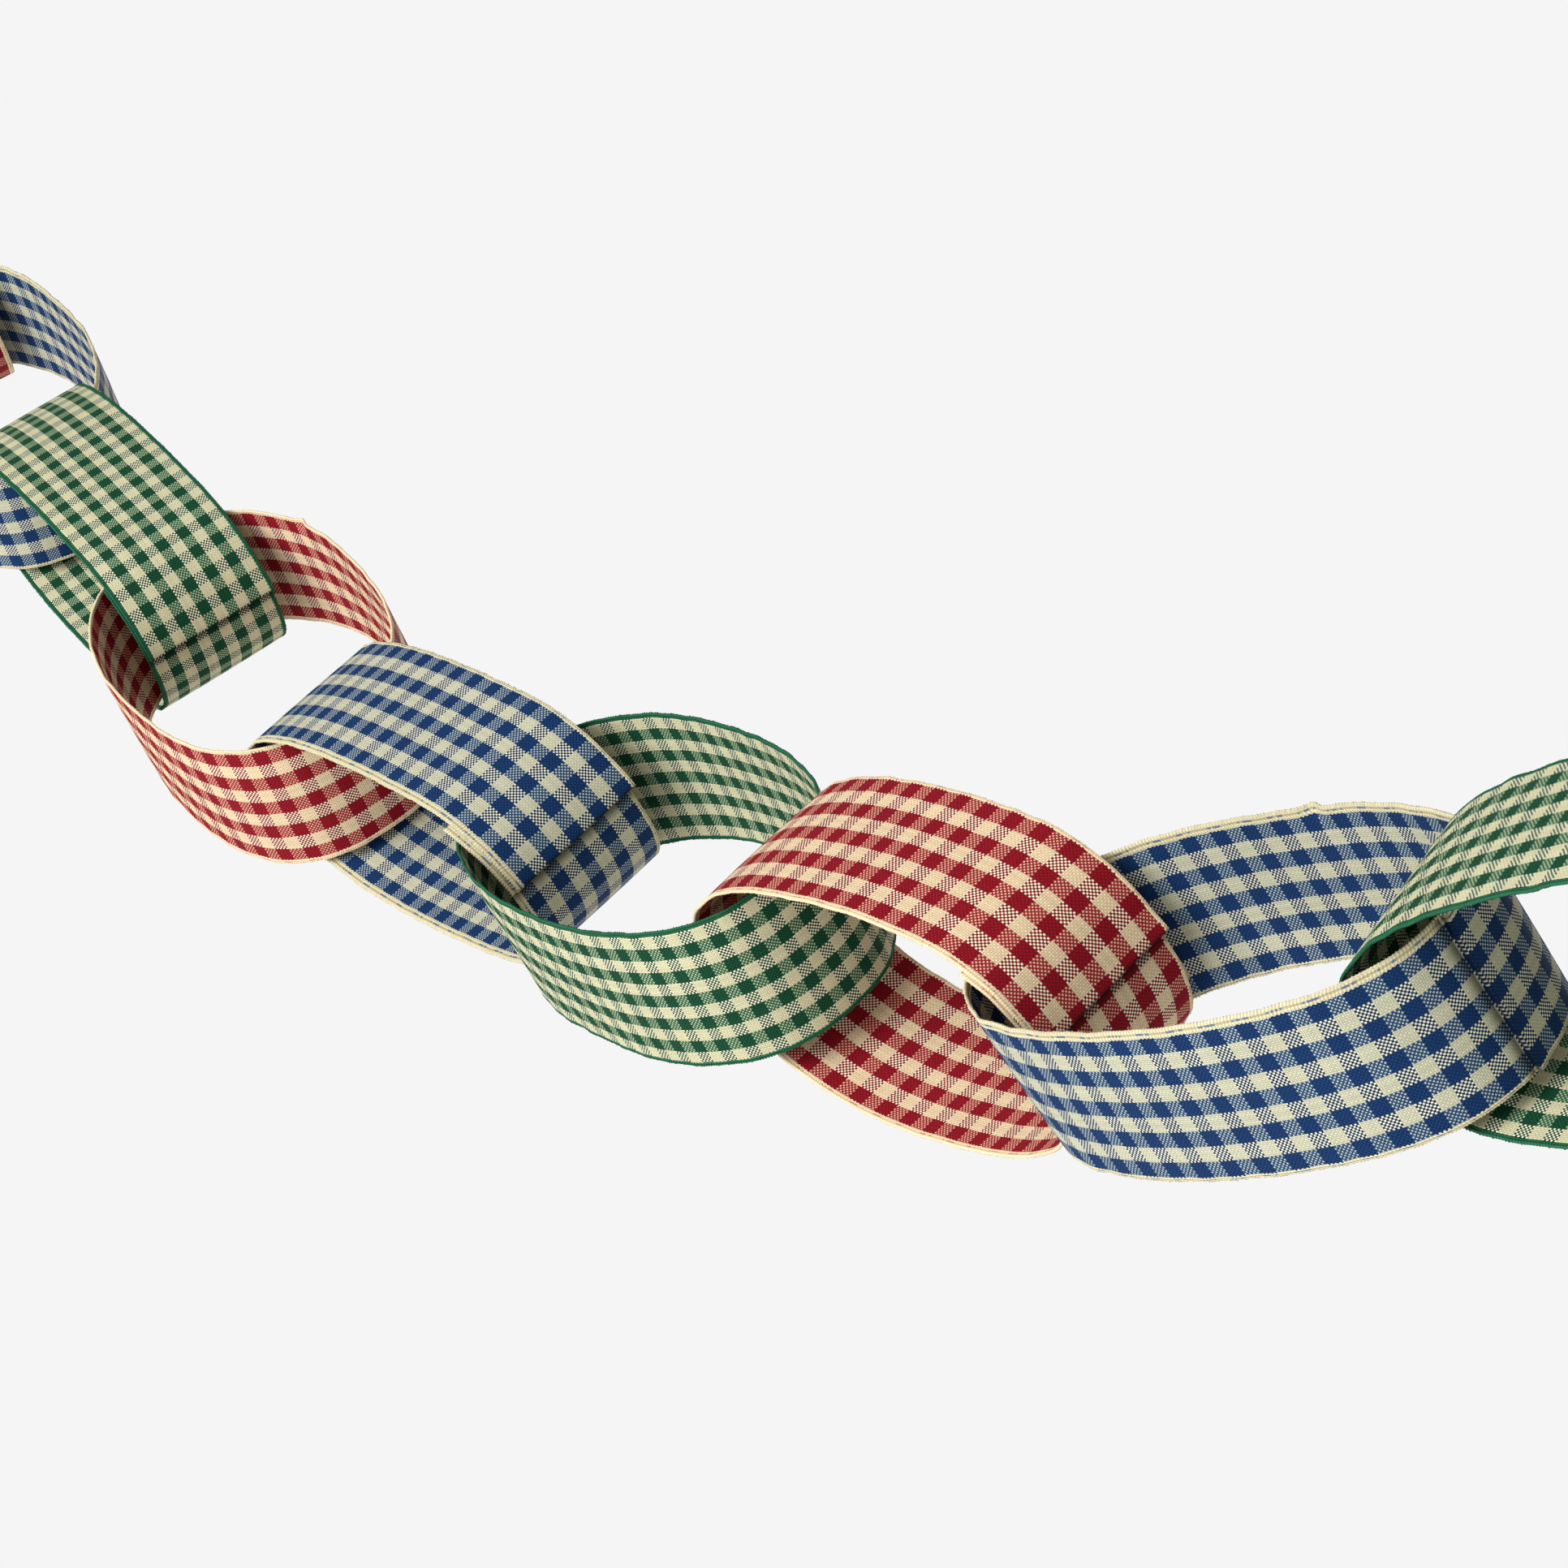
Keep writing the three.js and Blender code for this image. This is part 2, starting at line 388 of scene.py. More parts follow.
# Across the ribbon: places from one selvedge to the other, and half the thickness at each.
def sectionAcross(weave, wideSide):
    shape = selvedgeShape
    half = chain["width"] / 2
    borders = (weave["wideEdge"], weave["narrowEdge"])
    upper, lower = borders if wideSide < 0 else borders[::-1]
    places = np.array(shape["places"])
    bodyCount = round((chain["width"] - upper - lower) / ribbonDetail["stepAcross"])
    bodyStart, bodyEnd = -half + shape["bodyStart"] * upper, half - shape["bodyStart"] * lower
    body = np.linspace(bodyStart, bodyEnd, bodyCount)
    across = np.concatenate([-half + upper * places, body, half - lower * places[::-1]])
    depthIn = (half - np.abs(across)) / np.where(across < 0, upper, lower)
    cordTurn = 2 * shape["cords"] * math.pi * depthIn
    cord = np.where(depthIn < 1, (1 - np.cos(cordTurn)) / 2, 0)
    cordHalf = shape["thickness"] / 2 - weave["groove"] * (1 - cord)
    thick = np.where(depthIn < 1, cordHalf, chain["thickness"] / 2)
    dipStart, dipEnd = shape["dip"]
    thick[(depthIn > dipStart) & (depthIn < dipEnd)] -= weave["groove"] / shape["dipDepth"]
    short = (1 - depthIn / shape["roundedOuter"]).clip(0)
    rounded = np.sqrt(np.clip(1 - short**2, shape["thinnest"] ** 2, 1))
    return across, thick * rounded


# A closed mesh from rows of rings of points, with its ends filled across, and its cloth map of
# lengths along the ribbon and from one edge.
def bandObject(name, rings, alongRows, ringFromEdge, matrix):
    rows, columns = rings.shape[:2]
    faces = []
    for i in range(rows - 1):
        for j in range(columns):
            k = (j + 1) % columns
            faces.append((i * columns + j, i * columns + k, (i + 1) * columns + k, (i + 1) * columns + j))
    last = (rows - 1) * columns
    for j in range(columns // 2 - 1):
        k = columns - 1 - j
        faces.append((j, k, k - 1, j + 1))
        faces.append((last + j, last + j + 1, last + k - 1, last + k))
    mesh = bpy.data.meshes.new(name)
    mesh.from_pydata(rings.reshape(-1, 3).tolist(), [], faces)
    clothMap = mesh.uv_layers.new(name="cloth")
    corner = np.empty(len(mesh.loops), dtype=np.int32)
    mesh.loops.foreach_get("vertex_index", corner)
    lengths = np.stack([alongRows[corner // columns], ringFromEdge[corner % columns]], axis=-1)
    clothMap.data.foreach_set("uv", lengths.ravel())
    mesh.transform(matrix)
    shell = bmesh.new()
    shell.from_mesh(mesh)
    bmesh.ops.recalc_face_normals(shell, faces=shell.faces)
    shell.to_mesh(mesh)
    shell.free()
    mesh.shade_smooth()
    band = bpy.data.objects.new(name, mesh)
    bpy.context.scene.collection.objects.link(band)
    return band


# A route's rows moved off the cloth's face by each of some distances.
def offFace(along, height, distances):
    slopeAlong, slopeHeight = np.gradient(along), np.gradient(height)
    slope = np.hypot(slopeAlong, slopeHeight)
    movedAlong = along[:, None] - (slopeHeight / slope)[:, None] * distances
    return movedAlong, height[:, None] + (slopeAlong / slope)[:, None] * distances


def buildRibbon(loop):
    along, height = stripRoute()
    clothLength = lengthAlong(along, height)
    wideSide = wideSides[loop["number"] - 1]
    across, half = sectionAcross(weaves[loop["ribbon"]], wideSide)
    ringAcross = np.concatenate([across, across[::-1]])
    ringHalf = np.concatenate([half, -half[::-1]])
    alongGrid, heightGrid = offFace(along, height, ringHalf)
    acrossGrid = np.broadcast_to(ringAcross, alongGrid.shape)
    rings = clothPoints(loop, alongGrid, heightGrid, acrossGrid)
    name = f"ribbon_{loop['number']}_{loop['ribbon']}_woven"
    fromWideEdge = chain["width"] / 2 - wideSide * ringAcross
    return bandObject(name, rings, clothLength, fromWideEdge, loop["matrix"])


tapeMesh = {"rowsAlong": 12, "pointsAcross": 25}


# The tape fills the rest of the lap between the two layers, level with the hem.
def buildTape(loop):
    start = chain["hemLength"] + chain["tapeMargin"]
    end = chain["lapLength"] - chain["tapeMargin"]
    along = np.linspace(start, end, tapeMesh["rowsAlong"])
    edge = chain["tapeWidth"] / 2
    across = np.linspace(-edge, edge, tapeMesh["pointsAcross"])
    half = np.full(len(across), chain["thickness"] / 2)
    ringAcross = np.concatenate([across, across[::-1]])
    ringHalf = np.concatenate([half, -half])
    heightGrid = np.broadcast_to(ringHalf, (len(along), len(ringHalf)))
    acrossGrid = np.broadcast_to(ringAcross, heightGrid.shape)
    alongGrid = np.broadcast_to(along[:, None], heightGrid.shape)
    rings = clothPoints(loop, alongGrid, heightGrid, acrossGrid)
    return bandObject(f"seam_tape_{loop['number']}_film", rings, along, ringAcross, loop["matrix"])


weftTurn = {
    "radius": 0.1 * mm,
    "threadShare": 0.4,  # of the pitch, so that neighbouring turns nearly touch
    "inset": 0.16 * mm,  # of the arc's middle from the ribbon's edge
    "slant": math.radians(20),
    "sweep": math.radians(230),
    "arcPoints": 5,
    "threadSides": 4,
    "scales": (0.75, 1.15),  # from the smallest turn to the biggest
    "seed": 7,
}


# Weft turns by Geometry Nodes: one short arc of thread round the selvedge at every pitch.
def weftTurnTree():
    tree = bpy.data.node_groups.new("weftTurns", "GeometryNodeTree")
    face = tree.interface
    face.new_socket("Selvedge", in_out="INPUT", socket_type="NodeSocketGeometry")
    for socket in ("Pitch", "Turn Radius", "Thread Radius", "Slant", "Sweep"):
        face.new_socket(socket, in_out="INPUT", socket_type="NodeSocketFloat")
    face.new_socket("Seed", in_out="INPUT", socket_type="NodeSocketInt")
    face.new_socket("Thread", in_out="INPUT", socket_type="NodeSocketMaterial")
    face.new_socket("Turns", in_out="OUTPUT", socket_type="NodeSocketGeometry")
    given = addNode(tree, "NodeGroupInput").node.outputs
    sweepStart = addNode(tree, mathNode, {0: given["Sweep"], 1: -0.5}, operation="MULTIPLY")
    arc = addNode(
        tree,
        "GeometryNodeCurveArc",
        {
            "Resolution": weftTurn["arcPoints"],
            "Radius": given["Turn Radius"],
            "Start Angle": sweepStart,
            "Sweep Angle": given["Sweep"],
        },
    )
    circle = {"Resolution": weftTurn["threadSides"], "Radius": given["Thread Radius"]}
    section = addNode(tree, "GeometryNodeCurvePrimitiveCircle", circle)
    turn = addNode(
        tree, "GeometryNodeCurveToMesh", {"Curve": arc, "Profile Curve": section, "Fill Caps": True}
    )
    slant = addNode(tree, "ShaderNodeCombineXYZ", {"X": given["Slant"]})
    slanted = addNode(tree, "GeometryNodeTransform", {"Geometry": turn, "Rotation": slant})
    path = addNode(tree, "GeometryNodeMeshToCurve", {"Mesh": given["Selvedge"]})
    spaced = addNode(
        tree, "GeometryNodeResampleCurve", {"Curve": path, "Length": given["Pitch"]}, mode="LENGTH"
    )
    outwards = addNode(
        tree, "GeometryNodeInputNamedAttribute", {"Name": "edgeOut"}, data_type="FLOAT_VECTOR"
    )
    facing = addNode(
        tree, "GeometryNodeInputNamedAttribute", {"Name": "clothFace"}, data_type="FLOAT_VECTOR"
    )
    stance = addNode(
        tree,
        "FunctionNodeAxesToRotation",
        {"Primary Axis": outwards, "Secondary Axis": facing},
        primary_axis="X",
        secondary_axis="Y",
    )
    smallest, biggest = weftTurn["scales"]
    sizes = addNode(
        tree,
        "FunctionNodeRandomValue",
        {2: smallest, 3: biggest, "Seed": given["Seed"]},
        output=1,
        data_type="FLOAT",
    )
    copies = addNode(
        tree,
        "GeometryNodeInstanceOnPoints",
        {"Points": spaced, "Instance": slanted, "Rotation": stance, "Scale": sizes},
    )
    solid = addNode(tree, "GeometryNodeRealizeInstances", {"Geometry": copies})
    finished = addNode(
        tree, "GeometryNodeSetMaterial", {"Geometry": solid, "Material": given["Thread"]}
    )
    addNode(tree, "NodeGroupOutput", {"Turns": finished})
    return tree


# The two selvedges as paths, each point with the ways that its edge and its face look.
def selvedgePaths(loop):
    along, height = stripRoute()
    faceAlong, faceHeight = offFace(along, height, np.array([weftTurn["radius"]]))
    turn = np.array(loop["matrix"].to_3x3())
    points, outwards, facing = [], [], []
    for side in (-1, 1):
        edge = side * (chain["width"] / 2 - weftTurn["inset"])
        onEdge = clothPoints(loop, along, height, edge)
        pastEdge = clothPoints(loop, along, height, edge + side * weftTurn["radius"])
        overEdge = clothPoints(loop, faceAlong[:, 0], faceHeight[:, 0], edge)
        points.append(onEdge @ turn.T + np.array(loop["matrix"].translation))
        outwards.append((pastEdge - onEdge) @ turn.T / weftTurn["radius"])
        facing.append((overEdge - onEdge) @ turn.T / weftTurn["radius"])
    count = len(along)
    edges = [(i, i + 1) for i in range(2 * count - 1) if i != count - 1]
    mesh = bpy.data.meshes.new("selvedgePaths")
    mesh.from_pydata(np.concatenate(points).tolist(), edges, [])
    for name, vectors in (("edgeOut", outwards), ("clothFace", facing)):
        stored = mesh.attributes.new(name, "FLOAT_VECTOR", "POINT")
        stored.data.foreach_set("vector", np.concatenate(vectors).ravel())
    paths = bpy.data.objects.new("selvedgePaths", mesh)
    bpy.context.scene.collection.objects.link(paths)
    return paths


def buildTurns(loop, tree, thread):
    paths = selvedgePaths(loop)
    pitch = weaves[loop["ribbon"]]["turnPitch"]
    values = {
        "Pitch": pitch,
        "Turn Radius": weftTurn["radius"],
        "Thread Radius": weftTurn["threadShare"] * pitch,
        "Slant": weftTurn["slant"],
        "Sweep": weftTurn["sweep"],
        "Seed": weftTurn["seed"] + loop["number"],
        "Thread": thread,
    }
    modifier = paths.modifiers.new("weftTurns", "NODES")
    modifier.node_group = tree
    for socket in tree.interface.items_tree:
        if socket.name in values:
            modifier[socket.identifier] = values[socket.name]
    evaluated = paths.evaluated_get(bpy.context.evaluated_depsgraph_get())
    mesh = bpy.data.meshes.new_from_object(evaluated)
    mesh.shade_smooth()
    paths.modifiers.remove(modifier)
    bpy.data.objects.remove(paths)
    turns = bpy.data.objects.new(f"weft_turns_{loop['number']}_{loop['ribbon']}", mesh)
    bpy.context.scene.collection.objects.link(turns)
    return turns


def newMaterial(name, roughness, specular):
    material = bpy.data.materials.new(name)
    material.use_nodes = True
    shader = material.node_tree.nodes["Principled BSDF"]
    shader.inputs["Roughness"].default_value = roughness
    shader.inputs["Specular IOR Level"].default_value = specular
    return material, material.node_tree, shader


# What every ribbon's cloth shares. A tone is a factor on the colour. A pair is a span, which a
# value is multiplied by, and a start, which is added. A single tone is the darkest that it gets.
clothLook = {
    "roughness": 0.7,
    "specular": 0.06,
    "sheen": 0.08,
    "sheenRoughness": 0.4,
    "overLimit": (-0.25, 0.03),  # the coloured weft packs fuller than the cream one and shows more
    "weftSeed": 517.3,  # sets the weft threads' tones apart from the warp threads'
    "wanderScale": 260.0,
    "wanderReach": 0.26 * mm,  # twice how far a thread wanders
    "edgeWave": 0.07 * mm,  # the selvedge's border follows each weft thread
    "grooveMiddle": 0.5,  # of the selvedge's width
    "grooveHalf": 0.13,
    "turnSlant": 4.0,  # radians across the selvedge
    # painted shade on the selvedge cords: lighter on each weft turn and darker between turns
    "cordShadeTone": (0.2, 0.68),
    "sunkShare": 0.4,  # of the weft threads, which don't show in the groove
    "dyeScale": 90.0,
    "dyeTone": (0.14, 0.93),
    "threadTone": (0.2, 0.9),
    # painted shade in the hollows between threads and between the selvedge's weft turns, from the
    # relief's height
    "hollowShadeTone": (0.62, 0.58),
    # painted shade along the seam: a dark line at the folded edge and a shade on the layer below it
    "foldShadeFrom": 0.1 * mm,  # past the fold, where the painted dark line at the folded edge starts to fade
    "foldShadeTo": 0.7 * mm,
    "foldShadeTone": 0.12,
    "underReach": 2.2 * mm,  # of the painted shade on the layer below the fold
    "underShadeTone": 0.25,
    "underEdge": 0.1 * mm,  # past the fold the layer below is covered, so its painted shade stops there
    "bumpStrength": 0.7,
    "bumpHeight": 0.07 * mm,
}


# A value times a span, plus a start.
def scaled(tree, value, spanAndStart):
    span, start = spanAndStart
    return addNode(tree, mathNode, {0: value, 1: span, 2: start}, operation="MULTIPLY_ADD")


# Lengths along the cloth from its hemmed end: to the fold, and to where the fold lies on it.
hemFlat, foldArc = chain["hemLength"] - flatStart, math.pi / 2 * layerStep
foldPlace = hemFlat + foldArc / 2
underPlace = hemFlat + foldArc + chain["loopLength"] - flatStart


# Everything that a crossing of two threads needs, from the cloth's own lengths in metres.
def threadCrossings(tree, weave, along, across):
    threads = weave["threads"]
    checkAcross = (chain["width"] - weave["wideEdge"] - weave["narrowEdge"]) / weave["stripes"]
    warpRate, weftRate = threads / checkAcross, threads / weave["checkAlong"]
    warpStart, weftStart = -weave["wideEdge"] * warpRate, weave["checkStart"] * threads
    # counted from two stripes further out, so that no count is negative
    fromSelvedge = {0: across, 1: warpRate, 2: 2 * threads + warpStart}
    fromHem = {0: along, 1: weftRate, 2: 2 * threads + weftStart}
    warpCount = addNode(tree, mathNode, fromSelvedge, operation="MULTIPLY_ADD")
    weftCount = addNode(tree, mathNode, fromHem, operation="MULTIPLY_ADD")
    warpAngle = addNode(tree, mathNode, {0: warpCount, 1: math.pi}, operation="MULTIPLY")
    weftAngle = addNode(tree, mathNode, {0: weftCount, 1: math.pi}, operation="MULTIPLY")
    warpWave = addNode(tree, mathNode, {0: warpAngle}, operation="SINE")
    weftWave = addNode(tree, mathNode, {0: weftAngle}, operation="SINE")
    wave = addNode(tree, mathNode, {0: warpWave, 1: weftWave}, operation="MULTIPLY")
    dome = addNode(tree, mathNode, {0: wave}, operation="ABSOLUTE")
    height = addNode(tree, mathNode, {0: dome}, operation="SQRT")
    # which stripe each thread belongs to
    warpStripe = addNode(tree, mathNode, {0: warpCount, 1: threads}, operation="DIVIDE")
    weftStripe = addNode(tree, mathNode, {0: weftCount, 1: threads}, operation="DIVIDE")
    warpWhole = addNode(tree, mathNode, {0: warpStripe}, operation="FLOOR")
    weftWhole = addNode(tree, mathNode, {0: weftStripe}, operation="FLOOR")
    shifted = addNode(tree, mathNode, {0: warpWhole, 1: float(weave["firstCream"])}, operation="ADD")
    warpCream = addNode(tree, mathNode, {0: shifted, 1: 2}, operation="MODULO")
    weftCream = addNode(tree, mathNode, {0: weftWhole, 1: 2}, operation="MODULO")
    overLimit = scaled(tree, weftCream, clothLook["overLimit"])
    weftOver = addNode(tree, mathNode, {0: wave, 1: overLimit}, operation="LESS_THAN")
    # each thread is a little lighter or darker than the next
    warpIndex = addNode(tree, mathNode, {0: warpCount}, operation="FLOOR")
    weftIndex = addNode(tree, mathNode, {0: weftCount}, operation="FLOOR")
    topIndex = addNode(tree, mixNode, {0: weftOver, 2: warpIndex, 3: weftIndex})
    seeding = {0: weftOver, 1: clothLook["weftSeed"], 2: topIndex}
    seeded = addNode(tree, mathNode, seeding, operation="MULTIPLY_ADD")
    threadTone = addNode(tree, "ShaderNodeTexWhiteNoise", {"W": seeded}, noise_dimensions="1D")
    weftTone = addNode(tree, "ShaderNodeTexWhiteNoise", {"W": weftIndex}, noise_dimensions="1D")
    return {
        "weftOver": weftOver,
        "height": height,
        "warpCream": warpCream,
        "weftCream": weftCream,
        "weftWave": weftWave,
        "threadTone": threadTone,
        "weftTone": weftTone,
    }


# The colour at a crossing: which yarns meet there, and which is on top.
def yarnColors(tree, weave, crossing):
    warpUp = ["coloured", "creamBright", "mixed", "cream"]
    weftUp = ["colouredDark", "darkDot", "paleDot", "creamDark"]
    kinds = warpUp + weftUp
    # a cream warp counts one, a cream weft two, and the weft on top four
    creams = {0: crossing["weftCream"], 1: 2, 2: crossing["warpCream"]}
    creamCount = addNode(tree, mathNode, creams, operation="MULTIPLY_ADD")
    counting = {0: crossing["weftOver"], 1: 4, 2: creamCount}
    kind = addNode(tree, mathNode, counting, operation="MULTIPLY_ADD")
    share = scaled(tree, kind, (1 / len(kinds), 0.5 / len(kinds)))
    yarns = addNode(tree, "ShaderNodeValToRGB", {0: share})
    ramp = yarns.node.color_ramp
    ramp.interpolation = "CONSTANT"
    while len(ramp.elements) < len(kinds):
        ramp.elements.new(0.5)
    for i, name in enumerate(kinds):
        ramp.elements[i].position = i / len(kinds)
        ramp.elements[i].color = linearColor(weave[name])
    return yarns


# Polyester gingham ribbon, plain woven from dyed and cream yarn: square checks, a fleck of each
# thread in the mixed squares, and selvedges of two packed cords with the weft's colour between.
def wovenGingham(color):
    weave = weaves[color]
    look = clothLook
    name = f"wovenGingham_{color}"
    material, tree, shader = newMaterial(name, look["roughness"], look["specular"])
    shader.inputs["Sheen Weight"].default_value = look["sheen"]
    shader.inputs["Sheen Roughness"].default_value = look["sheenRoughness"]
    shader.inputs["Sheen Tint"].default_value = linearColor(weave["sheen"])
    place = addNode(tree, "ShaderNodeTexCoord", output="Object")
    flat = addNode(tree, "ShaderNodeUVMap", uv_map="cloth")
    # threads wander by about a tenth of a millimetre
    wandering = {"Vector": place, "Scale": look["wanderScale"], "Detail": 1.0}
    wander = addNode(tree, "ShaderNodeTexNoise", wandering, 1)
    reach = (look["wanderReach"], look["wanderReach"], 0.0)
    cloth = addNode(
        tree, "ShaderNodeVectorMath", {0: wander, 1: reach, 2: flat}, operation="MULTIPLY_ADD"
    )
    along, across = addNode(tree, "ShaderNodeSeparateXYZ", {0: cloth}).node.outputs[:2]
    crossing = threadCrossings(tree, weave, along, across)
    yarns = yarnColors(tree, weave, crossing)

    flatAcross = addNode(tree, "ShaderNodeSeparateXYZ", {0: flat}, 1)
    fromNarrow = addNode(tree, mathNode, {0: chain["width"], 1: flatAcross}, operation="SUBTRACT")
    fromEdge = addNode(tree, mathNode, {0: flatAcross, 1: fromNarrow}, operation="MINIMUM")
    byNarrow = addNode(tree, mathNode, {0: fromNarrow, 1: flatAcross}, operation="LESS_THAN")
    edgeWidth = addNode(tree, mixNode, {0: byNarrow, 2: weave["wideEdge"], 3: weave["narrowEdge"]})
    wavyEdge = {0: crossing["weftWave"], 1: look["edgeWave"], 2: edgeWidth}
    border = addNode(tree, mathNode, wavyEdge, operation="MULTIPLY_ADD")
    inSelvedge = addNode(tree, mathNode, {0: fromEdge, 1: border}, operation="LESS_THAN")
    edgeShare = addNode(tree, mathNode, {0: fromEdge, 1: edgeWidth}, operation="DIVIDE")
    groove = {0: edgeShare, 1: look["grooveMiddle"], 2: look["grooveHalf"]}
    inGroove = addNode(tree, mathNode, groove, operation="COMPARE")
    turns = addNode(
        tree, mathNode, {0: along, 1: 2 * math.pi / weave["turnPitch"]}, operation="MULTIPLY"
    )
    slanting = {0: edgeShare, 1: look["turnSlant"], 2: turns}
    slanted = addNode(tree, mathNode, slanting, operation="MULTIPLY_ADD")
    turnWave = addNode(tree, mathNode, {0: slanted}, operation="SINE")
    # painted shade of the weft turns: the cord colour goes from edgeDark between turns to edge on them
    turnHeight = scaled(tree, turnWave, look["cordShadeTone"])
    edgeDark, edge, dash = (linearColor(weave[name]) for name in ("edgeDark", "edge", "edgeDash"))
    shadedCordColor = addNode(tree, mixNode, {0: turnHeight, 6: edgeDark, 7: edge}, 2, data_type="RGBA")
    sinking = {0: crossing["weftTone"], 1: look["sunkShare"]}
    sunk = addNode(tree, mathNode, sinking, operation="LESS_THAN")
    noDash = addNode(tree, mathNode, {0: crossing["weftCream"], 1: sunk}, operation="MAXIMUM")
    grooveColor = addNode(tree, mixNode, {0: noDash, 6: dash, 7: edgeDark}, 2, data_type="RGBA")
    edgeColor = addNode(
        tree, mixNode, {0: inGroove, 6: shadedCordColor, 7: grooveColor}, 2, data_type="RGBA"
    )
    clothColor = addNode(tree, mixNode, {0: inSelvedge, 6: yarns, 7: edgeColor}, 2, data_type="RGBA")
    height = addNode(tree, mixNode, {0: inSelvedge, 2: crossing["height"], 3: turnHeight})

    # the dye drifts slowly; painted shade darkens the hollows between threads and the cloth along the
    # seam
    drifting = {"Vector": place, "Scale": look["dyeScale"], "Detail": 3.0}
    dye = addNode(tree, "ShaderNodeTexNoise", drifting)
    dyeTone = scaled(tree, dye, look["dyeTone"])
    threadTone = scaled(tree, crossing["threadTone"], look["threadTone"])
    paintedHollowShade = scaled(tree, height, look["hollowShadeTone"])
    # painted shade along the seam: a thin dark line at the folded edge, and the layer below darkening
    # towards it
    foldShadeStart, foldShadeEnd = foldPlace + look["foldShadeFrom"], foldPlace + look["foldShadeTo"]
    foldSpan = {0: along, 1: foldShadeStart, 2: foldShadeEnd, 3: look["foldShadeTone"], 4: 1.0}
    paintedFoldShade = addNode(tree, "ShaderNodeMapRange", foldSpan)
    shadeStart = underPlace - look["underReach"]
    underSpan = {0: along, 1: shadeStart, 2: underPlace, 3: 1.0, 4: look["underShadeTone"]}
    shaded = addNode(tree, "ShaderNodeMapRange", underSpan, interpolation_type="SMOOTHSTEP")
    pastFold = {0: along, 1: underPlace, 2: underPlace + look["underEdge"], 3: 0.0, 4: 1.0}
    covered = addNode(tree, "ShaderNodeMapRange", pastFold)
    underShadeTone = addNode(tree, mathNode, {0: shaded, 1: covered}, operation="MAXIMUM")
    paintedSeamShade = addNode(tree, mathNode, {0: paintedFoldShade, 1: underShadeTone}, operation="MULTIPLY")
    yarnTone = addNode(tree, mathNode, {0: dyeTone, 1: threadTone}, operation="MULTIPLY")
    hollowShadeTone = addNode(tree, mathNode, {0: yarnTone, 1: paintedHollowShade}, operation="MULTIPLY")
    tone = addNode(tree, mathNode, {0: hollowShadeTone, 1: paintedSeamShade}, operation="MULTIPLY")
    finished = addNode(
        tree, "ShaderNodeVectorMath", {0: clothColor, "Scale": tone}, operation="SCALE"
    )
    relief = {"Height": height, "Strength": look["bumpStrength"], "Distance": look["bumpHeight"]}
    bump = addNode(tree, "ShaderNodeBump", relief)
    tree.links.new(finished, shader.inputs["Base Color"])
    tree.links.new(bump, shader.inputs["Normal"])
    return material


yarnLook = {
    "roughness": 0.75,
    "specular": 0.15,
    "fibreScale": 3500.0,
    "bumpStrength": 0.4,
    "bumpHeight": 0.03 * mm,
}


# Soft spun yarn where the weft turns back: matt, with fibres that catch the light unevenly.
def spunYarn(color):
    name = f"spunYarn_{color}"
    material, tree, shader = newMaterial(name, yarnLook["roughness"], yarnLook["specular"])
    place = addNode(tree, "ShaderNodeTexCoord", output="Object")
    spun = {"Vector": place, "Scale": yarnLook["fibreScale"], "Detail": 2.0}
    fibres = addNode(tree, "ShaderNodeTexNoise", spun)
    dark, pale = linearColor(weaves[color]["edgeDark"]), linearColor(weaves[color]["edge"])
    shade = addNode(tree, mixNode, {0: fibres, 6: dark, 7: pale}, 2, data_type="RGBA")
    fuzz = {"Height": fibres, "Strength": yarnLook["bumpStrength"], "Distance": yarnLook["bumpHeight"]}
    bump = addNode(tree, "ShaderNodeBump", fuzz)
    tree.links.new(shade, shader.inputs["Base Color"])
    tree.links.new(bump, shader.inputs["Normal"])
    return material


filmLook = {
    "roughness": 0.35,
    "specular": 0.4,
    "milky": "#EFEADD",
    "clear": "#DCD3BD",
    "glueScale": 700.0,
    "bumpStrength": 0.3,
    "bumpHeight": 0.05 * mm,
}


# Double-sided tape: a pale milky film, slightly glossy, with its glue a little uneven.
def gluedFilm():
    look = filmLook
    material, tree, shader = newMaterial("gluedFilm", look["roughness"], look["specular"])
    place = addNode(tree, "ShaderNodeTexCoord", output="Object")
    spread = {"Vector": place, "Scale": look["glueScale"], "Detail": 2.0}
    glue = addNode(tree, "ShaderNodeTexNoise", spread)
    milky, clear = linearColor(look["milky"]), linearColor(look["clear"])
    shade = addNode(tree, mixNode, {0: glue, 6: clear, 7: milky}, 2, data_type="RGBA")
    relief = {"Height": glue, "Strength": look["bumpStrength"], "Distance": look["bumpHeight"]}
    bump = addNode(tree, "ShaderNodeBump", relief)
    tree.links.new(shade, shader.inputs["Base Color"])
    tree.links.new(bump, shader.inputs["Normal"])
    return material


ginghams = {color: wovenGingham(color) for color in weaves}
yarnMaterials = {color: spunYarn(color) for color in weaves}
filmMaterial = gluedFilm()
turnTree = weftTurnTree()
finishes = [*ginghams.values(), *yarnMaterials.values(), filmMaterial]
print("materials made:", len(finishes))

for loop in loops:
    number, color = loop["number"], loop["ribbon"]
    ribbon = buildRibbon(loop)
    ribbon.data.materials.append(ginghams[color])
    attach(ribbon, "root")
    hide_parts(f"ribbon_{number}_{color}")
    turns = buildTurns(loop, turnTree, yarnMaterials[color])
    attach(turns, "root")
    tape = buildTape(loop)
    tape.data.materials.append(filmMaterial)
    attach(tape, "root")
    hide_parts(f"seam_tape_{number}")
    triangles = [len(piece.data.loop_triangles) for piece in (ribbon, turns, tape)]
    print("loop", number, color, "triangles", triangles)


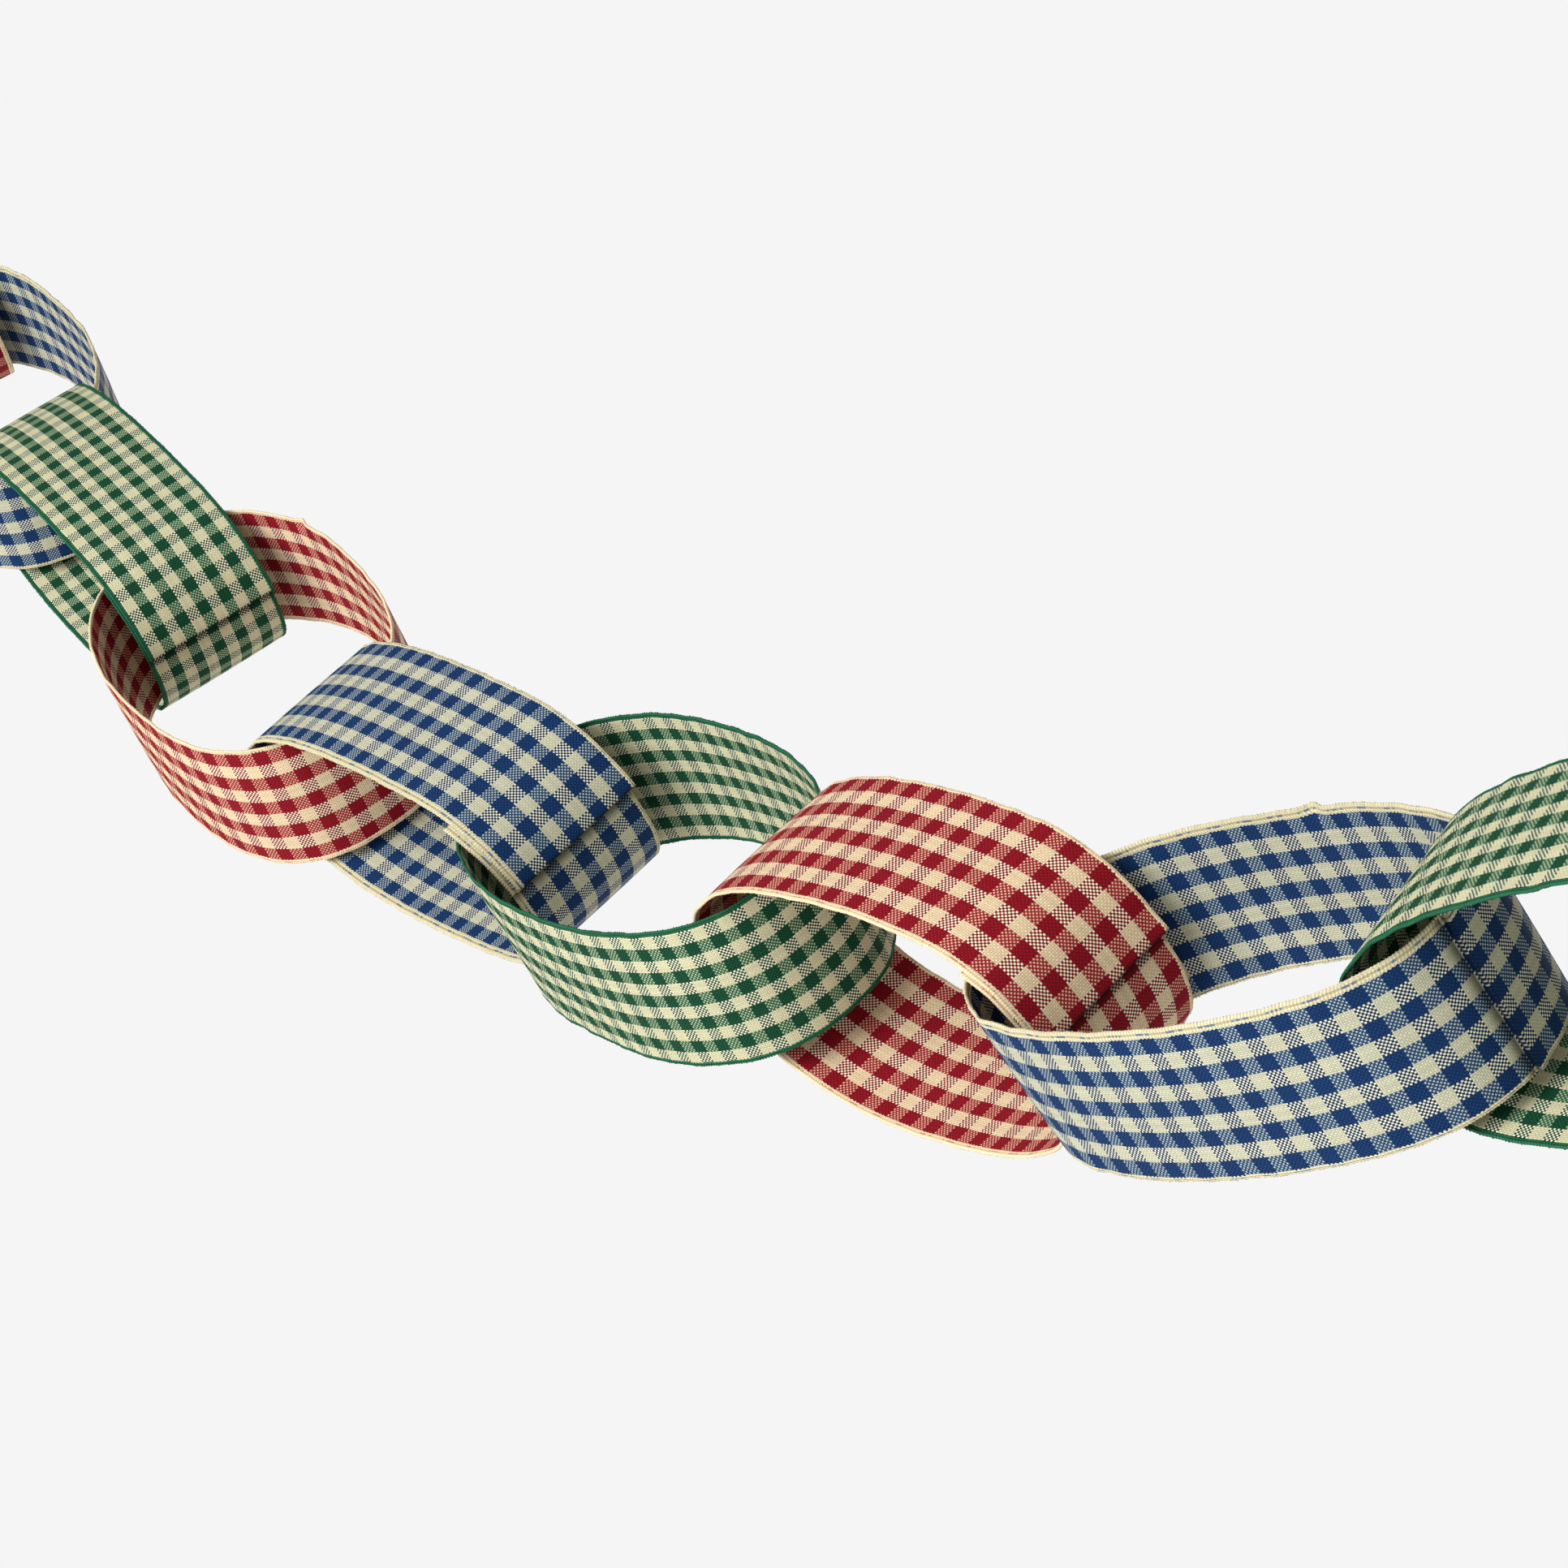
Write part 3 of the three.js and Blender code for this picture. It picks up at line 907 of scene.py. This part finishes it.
# Two big soft windows, by the way that each lies from the garland's middle.
windows = {
    "frontWindow": {"way": (0.06, -0.95, 0.04), "energy": 73, "color": "#FFFDF9"},
    "backWindow": {"way": (-0.5, 0.85, 0.35), "energy": 32, "color": "#FFFBF5"},
}
windowSize, windowDistance = 1.9, 2.4
middle = (Vector(cadBounds[0]) + Vector(cadBounds[1])) / 2


def areaLight(name, way, energy, color):
    light = bpy.data.lights.new(name, "AREA")
    light.size = windowSize
    light.energy = energy
    light.color = linearColor(color)[:3]
    lamp = bpy.data.objects.new(name, light)
    lamp.location = middle + Vector(way).normalized() * windowDistance
    lamp.rotation_euler = Vector(way).to_track_quat("Z", "Y").to_euler()
    bpy.context.scene.collection.objects.link(lamp)


for windowName, window in windows.items():
    areaLight(windowName, **window)

paleRoom = {
    "wall": "#F5F5F5",
    "air": "#FAF1E6",
    "airStrength": 0.27,
    "floorSide": 30.0,  # from the middle to each edge
    "floorHeight": -1.6,
    "floorPaint": "#F3F3F2",
    "floorRoughness": 0.9,
    "floorSpecular": 0.2,
    "glowColor": "#FFFFFF",
    "floorGlow": 0.25,
}

world = bpy.data.worlds.new("paleRoom")
world.use_nodes = True
roomTree = world.node_tree
roomTree.nodes.clear()
seen = addNode(roomTree, "ShaderNodeLightPath", output="Is Camera Ray")
wallColor, airColor = linearColor(paleRoom["wall"]), linearColor(paleRoom["air"])
wall = addNode(roomTree, "ShaderNodeBackground", {"Color": wallColor, "Strength": 1.0})
airGlow = {"Color": airColor, "Strength": paleRoom["airStrength"]}
air = addNode(roomTree, "ShaderNodeBackground", airGlow)
room = addNode(roomTree, "ShaderNodeMixShader", {0: seen, 1: air, 2: wall})
addNode(roomTree, "ShaderNodeOutputWorld", {"Surface": room})
bpy.context.scene.world = world
bpy.context.scene.view_settings.view_transform = "Standard"

side, bottom = paleRoom["floorSide"], paleRoom["floorHeight"]
corners = [(-side, -side, bottom), (side, -side, bottom), (side, side, bottom), (-side, side, bottom)]
floorMesh = bpy.data.meshes.new("floor")
floorMesh.from_pydata(corners, [], [(0, 1, 2, 3)])
floor = bpy.data.objects.new("floor", floorMesh)
bpy.context.scene.collection.objects.link(floor)
# matt wall paint: pale, even and without a highlight
paintFinish = (paleRoom["floorRoughness"], paleRoom["floorSpecular"])
palePaint, _, paintShader = newMaterial("palePaint", *paintFinish)
paintShader.inputs["Base Color"].default_value = linearColor(paleRoom["floorPaint"])
paintShader.inputs["Emission Color"].default_value = linearColor(paleRoom["glowColor"])
paintShader.inputs["Emission Strength"].default_value = paleRoom["floorGlow"]
floorMesh.materials.append(palePaint)

cameraData = bpy.data.cameras.new("camera")
cameraData.lens = cameraSettings["lens"]
cameraData.sensor_width = cameraSettings["sensorWidth"]
camera = bpy.data.objects.new("camera", cameraData)
aim = (
    Matrix.Rotation(math.radians(cameraSettings["turn"]), 4, "Z")
    @ Matrix.Rotation(math.radians(cameraSettings["rise"]), 4, "X")
    @ Matrix.Rotation(math.radians(cameraSettings["roll"]), 4, "Y")
    @ Matrix.Rotation(math.radians(90), 4, "X")
)
camera.matrix_world = Matrix.Translation(cameraSettings["place"]) @ aim
bpy.context.scene.collection.objects.link(camera)
bpy.context.scene.camera = camera
print("windows, room and camera placed")
